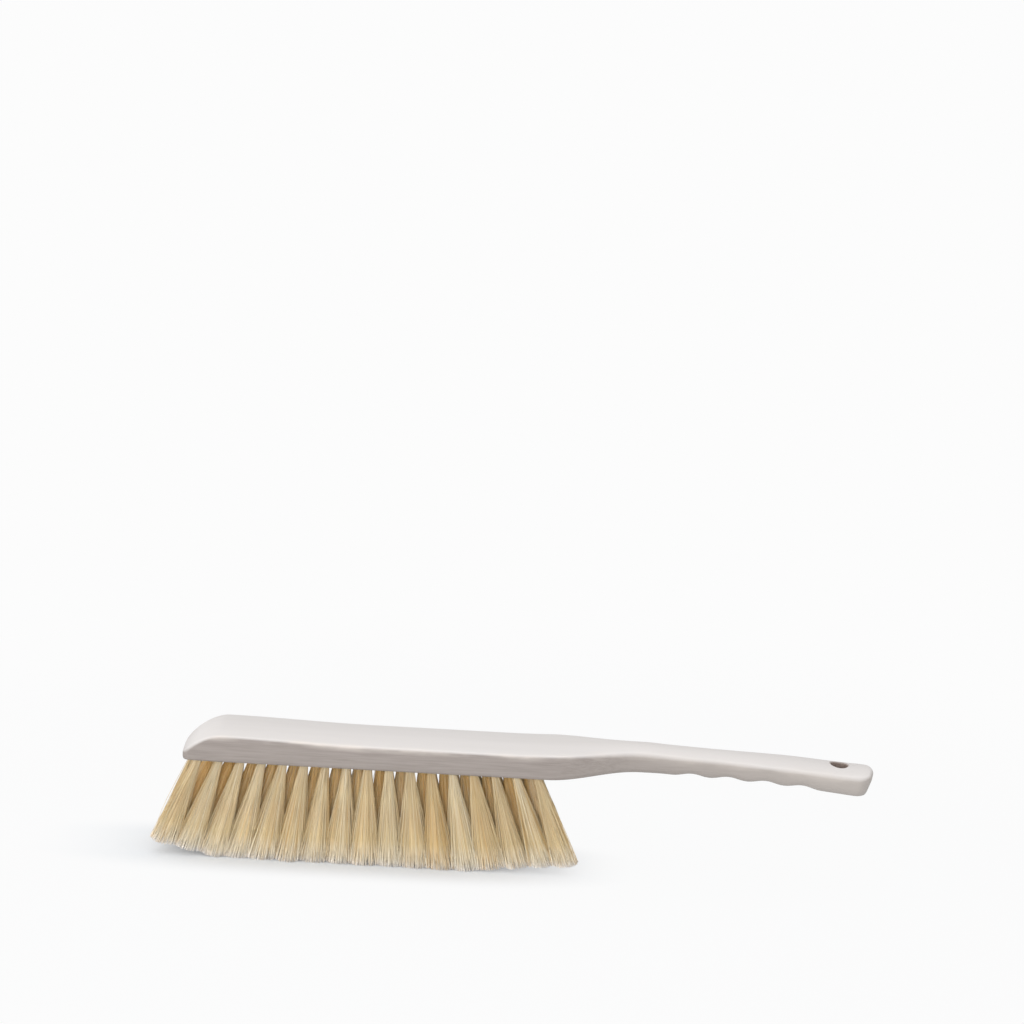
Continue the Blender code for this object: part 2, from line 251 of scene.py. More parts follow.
# Paint and wood. A grain is its stretch along each axis, its detail and its roughness.
FINE_GRAIN = ((40, 1000, 1000), 4.0, 0.65)
BROAD_GRAIN = ((7, 90, 90), 2.0, 0.5)
CLOUD_GRAIN = ((30, 110, 110), 3.0, 0.5)
MIDDLE_TONES = (0.3, 0.7)
LINE_TONES = (0.30, 0.62)
PATCH_TONES = (0.44, 0.66)
PATCH_STRENGTH = 0.8
PAINT_ROUGHNESS = (0.66, 0.54)
RELIEF = (0.12, 0.5)
RELIEF_HEIGHT = 0.00025
TOP_FACING = 0.80
FLANK_FACING = 0.25
TOP_PAINT_DULL = (0.695, 0.661, 0.635, 1)
TOP_PAINT_PALE = (0.722, 0.687, 0.663, 1)
# Sides of the wood: greyer than the top, which is painted shade, and lighter towards the hanging end; the
# lines in them are grain
FLANK_LINE_WITH_SHADE = (0.254, 0.219, 0.196, 1)
FLANK_PALE_WITH_SHADE = (0.310, 0.269, 0.244, 1)
END_FLANK_WITH_SHADE = (0.410, 0.370, 0.336, 1)
# Long edges: a peach tint of rubbed wear, paler than the top paint, so partly a painted highlight
RUBBED_EDGE_HIGHLIGHT = (0.800, 0.720, 0.650, 1)
RUB_HIGHLIGHT_WIDTH = 1.3
HANDLE_RUB_HIGHLIGHT = 0.3
# Inside the hang hole: dark brown, lined like the grain
HOLE_BROWN_DARK = (0.200, 0.150, 0.125, 1)
HOLE_BROWN = (0.300, 0.235, 0.200, 1)

# Steel
STEEL_GRAIN = 3000.0
STEEL_DARK = (0.46, 0.47, 0.48, 1)
STEEL_PALE = (0.62, 0.63, 0.64, 1)
STEEL_ROUGHNESS = (0.28, 0.45)

# Studio
BACKGROUND = (0.974, 0.974, 0.974, 1)
WORLD_COLOUR = (0.98, 0.985, 1.0, 1)
WORLD_STRENGTH = 0.78
SOFTBOX_SIZE = 1.5
SOFTBOX_PLACE = Vector((-0.30, -0.15, 1.5))
SOFTBOX_POWER = 3
FILL_SIZE = 0.7
FILL_PLACE = Vector((-0.12, -1.20, 0.36))
FILL_POWER = 6
SIDE_SIZE = 0.7
SIDE_PLACE = Vector((-1.35, -0.45, 0.37))
SIDE_POWER = 4.2
FLOOR_RADIUS = 12
FLOOR_SIDES = 96
FLOOR_COLOUR = (0.80, 0.825, 0.85, 1)
SHADOW_GLOW = 0.07
OPEN_GLOW = 0.96
SHADOW_SHIFT = 0.019
SHADOW_REACH = (0.050, 0.015, 1)
SHADOW_STRETCH = (0.235, 1, 1)
SHADOW_FADE = 0.029
OPEN_FROM = 0.25
OPEN_TO = 0.55


def add_object(name, data, made=None):
    """Put a mesh, lamp or camera in the scene under its own name, a mesh with its material."""
    thing = bpy.data.objects.new(name, data)
    bpy.context.scene.collection.objects.link(thing)
    if made:
        data.materials.append(made)
    return thing


def outward_mesh(made, name):
    """A mesh of the points and faces gathered so far, with every face turned outward."""
    bmesh.ops.recalc_face_normals(made, faces=made.faces)
    mesh = bpy.data.meshes.new(name)
    made.to_mesh(mesh)
    made.free()
    return mesh


def smooth_through(x, points):
    """Value at x of a smooth line through (place, value) points, with no hump between them."""
    if x <= points[0][0]:
        return points[0][1]
    if x >= points[-1][0]:
        return points[-1][1]
    slopes = [(b[1] - a[1]) / (b[0] - a[0]) for a, b in zip(points, points[1:])]
    i = next(k for k in range(len(slopes)) if x <= points[k + 1][0])
    start, end = points[i], points[i + 1]
    length = end[0] - start[0]
    t = (x - start[0]) / length
    at_start = shared_slope(slopes[i - 1] if i else 0, slopes[i])
    at_end = shared_slope(slopes[i], slopes[i + 1] if i + 1 < len(slopes) else 0)
    rise = end[1] - start[1]
    ease = t * t * (3 - 2 * t)
    lead = t * (1 - t) * (1 - t) * at_start - t * t * (1 - t) * at_end
    return start[1] + rise * ease + length * lead


def shared_slope(before, after):
    """Slope at a point from the slopes on both sides, level where they disagree."""
    if before * after <= 0:
        return 0
    return 2 * before * after / (before + after)


def corner_ease(distance, radius):
    """How far a rounded corner of this radius stands back at a distance from its end."""
    left = max(0, radius - distance)
    return radius - math.sqrt(max(0, radius * radius - left * left))


def half_width(x):
    """Half the width of the wood at x, seen from above."""
    wide = smooth_through(
        x,
        (
            (TAPER_X, BLOCK_WIDTH / 2),
            (NECK_X, NECK_WIDTH / 2),
            (FIRST_CREST_X + SCALLOP_PITCH, NECK_WIDTH / 2),
            (LAST_CREST_X + SCALLOP_PITCH / 2, END_WIDTH / 2),
        ),
    )
    nose = corner_ease(x - NOSE_X, NOSE_CORNER_RADIUS)
    end = corner_ease(END_X - x, END_CORNER_RADIUS)
    return wide - nose - end


def full_crown(x):
    """Crown of the top, clear of the nose."""
    return smooth_through(x, ((TAPER_X, BLOCK_CROWN), (NECK_X, HANDLE_CROWN)))


def crown(x):
    """How much higher the middle of the top is than its edges, half as much at the tip of the nose."""
    nose_share = min(1, max(0, (x - NOSE_X) / NOSE_LENGTH))
    return full_crown(x) * (1 + nose_share) / 2


def top_edge(x):
    """Height of the crease between side and top."""
    line = smooth_through(
        x,
        (
            (NOSE_X + NOSE_LENGTH, BLOCK_TOP_Z + SHOULDER_RISE),
            (BLOCK_X, BLOCK_TOP_Z),
            (TAPER_X - TAPER_LENGTH / 2, BLOCK_TOP_Z),
            (NECK_X, BLOCK_TOP_Z + NECK_RISE),
            (FIRST_CREST_X, BLOCK_TOP_Z + GRIP_RISE),
            (LAST_CREST_X, BLOCK_TOP_Z - GRIP_DROP),
            (END_X, BLOCK_TOP_Z - END_DROP),
        ),
    )
    from_nose = max(0, 1 - (x - NOSE_X) / NOSE_LENGTH)
    nose = (BLOCK_EDGE - NOSE_LIP) * from_nose**NOSE_POWER
    end = corner_ease(END_X - x, END_EDGE_RADIUS)
    return line - full_crown(x) - nose - end


def underside(x):
    """Height of the bottom of the wood."""
    line = smooth_through(
        x,
        (
            (TAPER_X - HOLE_DIAMETER / 2, UNDERSIDE_Z),
            (NECK_X - HOLLOW_LEAD, UNDERSIDE_Z + NECK_HOLLOW),
            (NECK_X + NECK_LENGTH / 2, UNDERSIDE_Z + NECK_HOLLOW),
            (FIRST_CREST_X, UNDERSIDE_Z + FIRST_CREST_RISE),
            (LAST_CREST_X, UNDERSIDE_Z + LAST_CREST_RISE),
            (END_X, UNDERSIDE_Z - END_FOOT),
        ),
    )
    nose = corner_ease(x - NOSE_X, NOSE_UNDER_RADIUS)
    end = corner_ease(END_X - x, BLOCK_EDGE_RADIUS)
    return line + scallop(x) + nose + end


def scallop(x):
    """Finger scallops, hollowed upwards out of the line of the underside."""
    share = (x - FIRST_CREST_X) / SCALLOP_PITCH
    if share <= 0 or share >= SCALLOPS:
        return 0
    return SCALLOP_DEPTH * math.sin(math.pi * share) ** 2


def edge_radius(x):
    """Radius of the long edges, larger round the nose and along the handle."""
    return smooth_through(
        x,
        (
            (NOSE_X, NOSE_EDGE_RADIUS),
            (NOSE_X + NOSE_LENGTH, BLOCK_EDGE_RADIUS),
            (TAPER_X, BLOCK_EDGE_RADIUS),
            (NECK_X, HANDLE_EDGE_RADIUS),
        ),
    )


def half_section(x):
    """Points at x from the middle of the underside round one side to the middle of the top.

    They come as three lists: underside, side and top.
    """
    wide = half_width(x)
    low = underside(x)
    crease = top_edge(x)
    high = crown(x)
    radius = min(edge_radius(x), EDGE_RADIUS_LIMIT_SHARE * (crease - low), EDGE_RADIUS_LIMIT_SHARE * wide)
    slope = math.atan(2 * high * (wide - radius) / (wide * wide))
    inner = wide - radius + radius * math.sin(slope)
    centre = crease + high * (1 - (inner / wide) ** 2) - radius * math.cos(slope)
    under = [((wide - radius) * step / CROWN_STEPS, low) for step in range(CROWN_STEPS)]
    side = []
    for step in range(CORNER_STEPS):
        turn = math.pi / 2 * step / CORNER_STEPS
        side.append((wide - radius + radius * math.sin(turn), low + radius - radius * math.cos(turn)))
    for step in range(SIDE_STEPS):
        side.append((wide, low + radius + (centre - low - radius) * step / SIDE_STEPS))
    for step in range(CORNER_STEPS + 1):
        turn = (math.pi / 2 - slope) * step / CORNER_STEPS
        side.append((wide - radius + radius * math.cos(turn), centre + radius * math.sin(turn)))
    top = []
    for step in range(1, CROWN_STEPS + 1):
        y = inner * (1 - step / CROWN_STEPS)
        top.append((y, crease + high * (1 - (y / wide) ** 2)))
    return under, side, top


def placer(x, points):
    """Gives the place of a section's point, with the nose bowed forward and the hanging end raked."""
    wide = max(p[0] for p in points)
    low = min(p[1] for p in points)
    high = max(p[1] for p in points)
    near_nose = max(0, 1 - (x - NOSE_X) / NOSE_LENGTH)
    near_end = max(0, 1 - (END_X - x) / HANG_HOLE_FROM_END)

    def place(y, z):
        bow = NOSE_BOW * near_nose * (1 - (y / wide) ** 2)
        rake = END_RAKE * near_end * (high - z) / (high - low)
        return x - bow - rake, y, z

    return place


def stations():
    """Places along X where the wood has a section, closer together where it turns."""
    places = []
    for step in range(NOSE_STEPS):
        share = step / NOSE_STEPS
        places.append(NOSE_X + NOSE_LENGTH * share * share)
    start = TAPER_X - TAPER_LENGTH / 2
    straight = start - NOSE_X - NOSE_LENGTH
    for step in range(BLOCK_STEPS):
        places.append(NOSE_X + NOSE_LENGTH + straight * step / BLOCK_STEPS)
    for step in range(TAPER_STEPS):
        places.append(start + (NECK_X - start) * step / TAPER_STEPS)
    for step in range(NECK_STEPS):
        places.append(NECK_X + (FIRST_CREST_X - NECK_X) * step / NECK_STEPS)
    count = SCALLOPS * STEPS_PER_SCALLOP
    for step in range(count):
        places.append(FIRST_CREST_X + SCALLOPS * SCALLOP_PITCH * step / count)
    grip_end = FIRST_CREST_X + SCALLOPS * SCALLOP_PITCH
    for step in range(END_STEPS + 1):
        turn = math.pi / 2 * step / END_STEPS
        places.append(grip_end + (END_X - grip_end) * math.sin(turn))
    return places


def wood_mesh():
    """Closed skin through all sections, with a grid over both ends."""
    made = bmesh.new()
    rings = []
    for x in stations():
        under, side, top = half_section(x)
        half = under + side + top
        place = placer(x, half)
        right = [made.verts.new(place(y, z)) for y, z in half]
        left = [made.verts.new(place(-y, z)) for y, z in half[1:-1]]
        rings.append((right, left, place, half))
    for before, after in zip(rings, rings[1:]):
        loop = before[0] + before[1][::-1]
        following = after[0] + after[1][::-1]
        for i in range(len(loop)):
            j = (i + 1) % len(loop)
            made.faces.new((loop[i], loop[j], following[j], following[i]))
    for right, left, place, half in (rings[0], rings[-1]):
        close_end(made, right, left, place, half)
    return outward_mesh(made, "wood")


def close_end(made, right, left, place, half):
    """Grid over an end: columns between underside and top, and a strip at each side."""
    count = len(half) - 1
    rows = count - 2 * CROWN_STEPS
    mirrored = [right[0]] + left + [right[-1]]
    for edge, sign in ((right, 1), (mirrored, -1)):
        columns = []
        for step in range(CROWN_STEPS + 1):
            low = half[step]
            high = half[count - step]
            column = [edge[step]]
            for row in range(1, rows):
                share = row / rows
                y = sign * (low[0] + (high[0] - low[0]) * share)
                z = low[1] + (high[1] - low[1]) * share
                column.append((y, z))
            column.append(edge[count - step])
            columns.append(column)
        points = end_points(made, columns, place)
        points.append(edge[CROWN_STEPS : CROWN_STEPS + rows + 1])
        for before, after in zip(points, points[1:]):
            for row in range(rows):
                corners = [before[row], after[row], after[row + 1], before[row + 1]]
                made.faces.new(list(dict.fromkeys(corners)))
    bmesh.ops.remove_doubles(made, verts=made.verts, dist=0.000001)


def end_points(made, columns, place):
    """Turn the inner places of an end's columns into points."""
    points = []
    for column in columns:
        inner = [made.verts.new(place(y, z)) for y, z in column[1:-1]]
        points.append([column[0]] + inner + [column[-1]])
    return points


def tufts():
    """Row, number, mouth of the hole and middle of the tips for each tuft."""
    found = []
    rows = (
        ("front", HOLES_IN_ROW, -1, 0),
        ("middle", HOLES_IN_ROW - 1, 0, MIDDLE_ROW_SHIFT),
        ("back", HOLES_IN_ROW, 1, BACK_ROW_SHIFT),
    )
    for row, count, side, shift in rows:
        for number in range(count):
            along = number - (count - 1) / 2
            mouth_x = BLOCK_X + HOLE_PITCH * along + shift
            mouth = Vector((mouth_x, ROW_PITCH * side, UNDERSIDE_Z))
            near_nose = max(0, -2 * along / (HOLES_IN_ROW - 1))
            tip_x = BLOCK_X + TIP_PITCH * along + shift * (1 - near_nose * near_nose)
            tip = Vector((tip_x, TIP_ROW_PITCH * side, tip_height(tip_x)))
            found.append((row, number + 1, mouth, tip))
    return found


def tip_height(x):
    """Height of the trimmed tips: flat in the middle, so that the brush stands, and rising at the ends."""
    to_nose = x < BLOCK_X
    flat = TIP_FLAT_TO_NOSE if to_nose else TIP_FLAT_TO_HEEL
    rise = TIP_RISE_AT_NOSE if to_nose else TIP_RISE_AT_HEEL
    beyond = max(0, abs(x - BLOCK_X) - flat)
    share = beyond / (TIP_REACH - flat)
    return rise * share


def frame_along(axis):
    """Two directions square to an axis and to each other, the first one in the XZ plane."""
    first = Vector((-axis.z, 0, axis.x)).normalized()
    return first, first.cross(axis)


def ring(made, centre, first, second, radius, sides):
    """Points of a regular outline."""
    points = []
    for step in range(sides):
        angle = 2 * math.pi * step / sides
        offset = first * math.cos(angle) + second * math.sin(angle)
        points.append(made.verts.new(centre + offset * radius))
    return points


def join_rings(made, before, after):
    """Sides between two outlines."""
    for i in range(len(before)):
        j = (i + 1) % len(before)
        made.faces.new((before[i], before[j], after[j], after[i]))


def tuft_holes_mesh(places):
    """All tuft holes, each along its own tuft."""
    made = bmesh.new()
    for _, _, mouth, tip in places:
        axis = (tip - mouth).normalized()
        first, second = frame_along(axis)
        deep = mouth - axis * HOLE_DEPTH
        out = mouth + axis * OVERRUN
        inner = ring(made, deep, first, second, HOLE_DIAMETER / 2, HOLE_SIDES)
        outer = ring(made, out, first, second, HOLE_DIAMETER / 2, HOLE_SIDES)
        join_rings(made, inner, outer)
        made.faces.new(inner)
        made.faces.new(outer)
    return outward_mesh(made, "tuft_holes")


def top_at(x, y):
    """Height of the top of the wood."""
    return top_edge(x) + crown(x) * (1 - (y / half_width(x)) ** 2)


def hang_hole_mesh():
    """Cutter for the hole to hang the brush by, with its lips rounded above and below."""
    made = bmesh.new()
    loops = []
    for over, lip in hang_hole_profile():
        loop = []
        for step in range(HANG_HOLE_SIDES):
            angle = 2 * math.pi * step / HANG_HOLE_SIDES
            reach = HANG_HOLE_DIAMETER / 2 + lip
            x = HANG_HOLE_X + reach * math.cos(angle)
            y = reach * math.sin(angle)
            loop.append(made.verts.new((x, y, over(x, y))))
        loops.append(loop)
    for before, after in zip(loops, loops[1:]):
        join_rings(made, before, after)
    made.faces.new(loops[0])
    made.faces.new(loops[-1])
    return outward_mesh(made, "hang_hole")


def hang_hole_profile():
    """Height rule and widening of each loop of the cutter, from above the wood to below it."""
    lip = HANG_HOLE_LIP
    upper = []
    for step in range(HANG_HOLE_LIP_STEPS + 1):
        turn = HANG_HOLE_LIP_TURN * (1 - step / HANG_HOLE_LIP_STEPS)
        upper.append((lip * (1 - math.sin(turn)), lip * (1 - math.cos(turn))))
    widest = upper[0][1]
    profile = [(lambda x, y: top_at(x, y) + OVERRUN, widest)]
    for drop, wider in upper:
        profile.append((lambda x, y, drop=drop: top_at(x, y) - drop, wider))
    for drop, wider in reversed(upper):
        profile.append((lambda x, y, drop=drop: underside(x) + drop, wider))
    profile.append((lambda x, y: underside(x) - OVERRUN, widest))
    return profile


def cut(wood, mesh):
    """Subtract a solid from the wood for good."""
    cutter = add_object("cutter", mesh)
    change = wood.modifiers.new("cut", "BOOLEAN")
    change.operation = "DIFFERENCE"
    change.solver = "EXACT"
    change.object = cutter
    scene_now = bpy.context.evaluated_depsgraph_get()
    result = bpy.data.meshes.new_from_object(wood.evaluated_get(scene_now))
    wood.modifiers.remove(change)
    wood.data = result
    bpy.data.objects.remove(cutter)


def rub_and_highlight(x):
    """How much the long edges are rubbed and carry a painted highlight: not at the nose, and less along
    the handle.
    """
    return smooth_through(
        x,
        (
            (NOSE_X + NOSE_LENGTH / 2, 0),
            (NOSE_X + NOSE_LENGTH, 1),
            (TAPER_X, 1),
            (NECK_X, HANDLE_RUB_HIGHLIGHT),
        ),
    )


def mark_edges(mesh):
    """Give each point of the wood two values from 0 to 1: rubbed with a painted highlight at a long edge,
    and in the hang hole.
    """
    values = []
    inside = []
    for vertex in mesh.vertices:
        x, y, z = vertex.co
        x = min(END_X, max(NOSE_X, x))
        wide = half_width(x)
        reach = RUB_HIGHLIGHT_WIDTH * edge_radius(x)
        from_top = math.hypot(wide - abs(y), top_at(x, min(abs(y), wide)) - z)
        near = max(0, 1 - from_top / reach)
        values.append(near * rub_and_highlight(x))
        from_bore = math.hypot(x - HANG_HOLE_X, y) - HANG_HOLE_DIAMETER / 2
        inside.append(min(1, max(0, 1 - from_bore / HANG_HOLE_LIP)))
    for key, found in (("edge", values), ("bore", inside)):
        layer = mesh.attributes.new(key, "FLOAT", "POINT")
        layer.data.foreach_set("value", found)


def make_wood(places):
    """The block and handle, one piece of wood."""
    wood = add_object("whitewashed_wood", wood_mesh())
    cut(wood, tuft_holes_mesh(places))
    cut(wood, hang_hole_mesh())
    mark_edges(wood.data)
    wood.data.materials.clear()
    wood.data.materials.append(wood_material())
    wood.data.shade_smooth()
    wood.data.set_sharp_from_angle(angle=SHARP_ANGLE)
    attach(wood, "root")
    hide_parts("block_and_handle")


def bundle_places():
    """Places of the folded fibres in one half of the round bundle, on a circle of radius 1."""
    places = []
    count = 2 * FOLDED_FIBRES
    step = 0
    while len(places) < FOLDED_FIBRES:
        reach = math.sqrt((step + 0.5) / count)
        u = reach * math.cos(GOLDEN_TURN * step)
        v = reach * math.sin(GOLDEN_TURN * step)
        if u <= 0:
            places.append((u * BUNDLE_FILL, v * BUNDLE_FILL))
        step += 1
    return places


class Tuft:
    """The shape of one tuft, and the chance differences between its fibres."""

    def __init__(self, row, number, mouth, tip):
        self.chance = random.Random(f"{row} {number}")
        self.row = row
        self.mouth = mouth
        self.tip = tip
        self.axis = (tip - mouth).normalized()
        self.first, self.second = frame_along(self.axis)
        if self.first.x < 0:
            self.first.negate()
            self.second.negate()
        self.locks = self.lock_places()
        self.reach_x, self.reach_y = self.reaches()
        usual = FLARE_POWER if row == "front" else INNER_FLARE_POWER
        self.flare = usual + self.chance.uniform(-FLARE_VARIETY, FLARE_VARIETY)
        self.parting = PARTING * self.chance.uniform(*PARTING_VARIETY)
        self.shade = self.chance.gauss(0, TUFT_SHADE_SPREAD)
        self.sweep = Vector((self.chance.gauss(0, SWEEP), self.chance.gauss(0, SWEEP), 0))

    def reaches(self):
        """How far the tips spread to both sides along and across, no further than the whole brush does."""
        spread_out = TIP_SPREAD * self.chance.uniform(1 - SPREAD_VARIETY, 1 + SPREAD_VARIETY)
        along = self.tip.x - BLOCK_X
        across = self.tip.y
        whole_width = TIP_ROW_PITCH + TIP_HALF_WIDTH
        reach_x = []
        reach_y = []
        for sign in (-1, 1):
            end = TIP_REACH - (END_TUCK if sign > 0 and across > 0 else 0)
            reach_x.append(min(spread_out * TIP_HALF_LENGTH, end - sign * along))
            reach_y.append(min(spread_out * TIP_HALF_WIDTH, whole_width - sign * across))
        return reach_x, reach_y

    def lock_places(self):
        """Where the tips gather into locks, on a circle of radius 1."""
        places = []
        for step in range(LOCKS):
            reach = math.sqrt((step + 0.5) / LOCKS)
            angle = GOLDEN_TURN * step + self.chance.uniform(-LOCK_TURN, LOCK_TURN)
            shade = self.chance.gauss(0, LOCK_SHADE_SPREAD)
            places.append((reach * math.cos(angle), reach * math.sin(angle), shade))
        return places

    def end_of(self, u, v, side):
        """One half of a fibre, from the mouth of the hole to its tip: points and its lock's shade."""
        chance = self.chance
        lock = min(self.locks, key=lambda place: math.hypot(place[0] - u, place[1] - v))
        pull = LOCK_PULL * chance.uniform(*LOCK_PULL_VARIETY)
        tip_u = u + (lock[0] - u) * pull + chance.gauss(0, TIP_SCATTER)
        tip_v = v + (lock[1] - v) * pull + chance.gauss(0, TIP_SCATTER)
        tip = self.spread_tip(tip_u, tip_v)
        tip.x += side * self.parting
        if chance.random() < STRAY_SHARE:
            tip.x += chance.uniform(-1, 1) * STRAY_REACH
            tip.y += chance.uniform(-1, 1) * STRAY_REACH
        loss = LENGTH_LOSS * chance.random() ** 2
        tip.z = tip_height(tip.x) + loss + TUFT_BULGE * tip_u * tip_u
        bend = Vector((chance.gauss(0, BEND), chance.gauss(0, BEND), 0))
        wave = chance.uniform(0, 2 * math.pi)
        turns = chance.uniform(*WAVE_TURNS)
        root = self.root(u, v, 0)
        points = []
        for share in FREE_STATIONS:
            points.append(self.point(root, tip, share, bend, wave, turns))
        points[-1].z = max(points[-1].z, tip_height(points[-1].x))
        return points, lock[2]

    def spread_tip(self, u, v):
        """Where a place in the bundle comes to at the tips, before its length is trimmed."""
        tip = self.tip + self.sweep
        across = v if self.second.y > 0 else -v
        tip.x += u * self.reach_x[u > 0]
        tip.y += across * self.reach_y[across > 0]
        return tip

    def root(self, u, v, depth):
        """Place of a fibre in the bundle, at a depth below the mouth."""
        offset = (self.first * u + self.second * v) * (BUNDLE_RADIUS - FIBRE_RADIUS)
        return self.mouth + offset - self.axis * depth

    def point(self, root, tip, share, bend, wave, turns):
        """Place on the free part of a fibre."""
        place = self.between(root, tip, share)
        place += bend * math.sin(math.pi * share) * share
        ripple = WAVE * math.sin(wave + turns * 2 * math.pi * share) * share
        place += Vector((ripple, ripple * math.cos(wave), 0))
        return place

    def between(self, root, tip, share):
        """Place on the straight run from a root to a tip, as the tuft flares."""
        flare = max(0, share) ** self.flare
        straight = self.mouth.lerp(self.tip, share)
        return straight + (root - self.mouth) * (1 - flare) + (tip - self.tip) * flare

    def fold(self, u, v):
        """Points of the fold in the bottom of the hole, from one half to the other."""
        points = []
        depth = FOLD_DEPTH - FOLD_RISE * (1 - abs(u))
        for step in range(FOLD_POINTS):
            angle = math.pi * step / (FOLD_POINTS - 1)
            across = -math.cos(angle) * abs(u)
            deep = depth - FOLD_ROUNDING + FOLD_ROUNDING * math.sin(angle)
            points.append(self.root(across, v, deep))
        return points


def shade_level(value):
    """Which of the shades a value from 0 to 1 falls in."""
    return int(min(TOP_SHADE, max(0, value)) * SHADES)


def strip_sides(level):
    """Both sides of a shade's strip on the flat map."""
    return (level + STRIP_LOW) / SHADES, (level + STRIP_HIGH) / SHADES


def face_corners(u_low, u_high, v_low, v_high):
    """The four corners on the flat map of one face."""
    return [u_low, v_low, u_high, v_low, u_high, v_high, u_low, v_high]


def fibre_path(tuft, u, v):
    """A whole folded fibre: points, how far each is out of the hole, and its lock's shade."""
    left, shade = tuft.end_of(u, v, -1)
    right, other = tuft.end_of(-u, v, 1)
    fold = tuft.fold(u, v)
    points = left[::-1] + fold + right
    out = list(FREE_STATIONS)
    along = out[::-1] + [0] * len(fold) + out
    return points, along, (shade + other) / 2


def add_fibre(skin, points, along, shade, level, spin):
    """Add one thin tapered tube to the lists of points and faces."""
    first_index = len(skin["points"])
    count = len(points)
    side_way = Vector((0, 1, 0))
    for i, place in enumerate(points):
        ahead = points[min(i + 1, count - 1)] - points[max(i - 1, 0)]
        ahead.normalize()
        across = ahead.cross(side_way).normalized()
        up = across.cross(ahead)
        past = max(0, (along[i] - TAPERED_SHARE) / (1 - TAPERED_SHARE))
        radius = FIBRE_RADIUS + (FIBRE_TIP_RADIUS - FIBRE_RADIUS) * past
        for side in range(FIBRE_SIDES):
            angle = spin + 2 * math.pi * side / FIBRE_SIDES
            offset = across * math.cos(angle) + up * math.sin(angle)
            skin["points"].append(place + offset * radius)
            skin["along"].append(along[i])
            skin["shade"].append(shade)
    u_low, u_high = strip_sides(level)
    for i in range(count - 1):
        v_low = MAP_FROM + MAP_LENGTH * i / (count - 1)
        v_high = MAP_FROM + MAP_LENGTH * (i + 1) / (count - 1)
        for side in range(FIBRE_SIDES):
            following = (side + 1) % FIBRE_SIDES
            a = first_index + i * FIBRE_SIDES
            b = a + FIBRE_SIDES
            skin["faces"].append((a + side, a + following, b + following, b + side))
            skin["uv"] += face_corners(u_low, u_high, v_low, v_high)
    last = first_index + (count - 1) * FIBRE_SIDES
    for start, v, inward in ((first_index, MAP_FROM, FIBRE_CAP), (last, MAP_TO, -FIBRE_CAP)):
        skin["faces"].append(tuple(start + side for side in range(FIBRE_SIDES)))
        skin["uv"] += [u_low, v, u_high, v, u_high, v + inward]


def core_width(share):
    """Width of the inner bundle at a share of the free length, drawn in to a point before the tips."""
    past = max(0, share - CORE_CLOSING_FROM) / (CORE_STATIONS[-1] - CORE_CLOSING_FROM)
    return CORE_SHARE * math.sqrt(max(CORE_CLOSED, 1 - past * past))


def add_core(skin, tuft):
    """The closed inner bundle of a tuft, ribbed along its length and shaded in streaks."""
    first_index = len(skin["points"])
    ribs = [1 + tuft.chance.gauss(0, CORE_ROUGHNESS) for _ in range(CORE_SIDES)]
    levels = []
    for _ in range(CORE_SIDES):
        value = CORE_SHADE + tuft.chance.gauss(0, CORE_SHADE_SPREAD) + 0.5 * tuft.shade
        levels.append(shade_level(value))
    for share in CORE_STATIONS:
        for side in range(CORE_SIDES):
            angle = 2 * math.pi * side / CORE_SIDES
            width = core_width(share) * ribs[side]
            u = width * math.cos(angle)
            v = width * math.sin(angle)
            skin["points"].append(tuft.between(tuft.root(u, v, 0), tuft.spread_tip(u, v), share))
            skin["along"].append(max(0, share))
            skin["shade"].append((levels[side] + 0.5) / SHADES)
    for i in range(len(CORE_STATIONS) - 1):
        v_low = along_to_v(max(CORE_MAP_FROM[0], CORE_STATIONS[i]))
        v_high = along_to_v(max(CORE_MAP_FROM[1], CORE_STATIONS[i + 1]))
        for side in range(CORE_SIDES):
            following = (side + 1) % CORE_SIDES
            a = first_index + i * CORE_SIDES
            b = a + CORE_SIDES
            u_low, u_high = strip_sides(levels[side])
            skin["faces"].append((a + side, a + following, b + following, b + side))
            skin["uv"] += face_corners(u_low, u_high, v_low, v_high)
    last = first_index + (len(CORE_STATIONS) - 1) * CORE_SIDES
    for start, v in ((first_index, 0.0), (last, CORE_STATIONS[-1])):
        skin["faces"].append(tuple(start + side for side in range(CORE_SIDES)))
        for side in range(CORE_SIDES):
            angle = 2 * math.pi * side / CORE_SIDES
            u = (levels[0] + 0.5 + CORE_CAP[0] * math.cos(angle)) / SHADES
            skin["uv"] += [u, along_to_v(v) + CORE_CAP[1] * math.sin(angle)]


def along_to_v(share):
    """Place on the flat map of a share of the free length, as on the first half of a folded fibre."""
    last = len(FREE_STATIONS) - 1
    k = max(i for i in range(last) if FREE_STATIONS[i] <= share)
    within = (share - FREE_STATIONS[k]) / (FREE_STATIONS[k + 1] - FREE_STATIONS[k])
    pieces = 2 * len(FREE_STATIONS) + FOLD_POINTS - 1
    return MAP_FROM + MAP_LENGTH * (last - k - within) / pieces


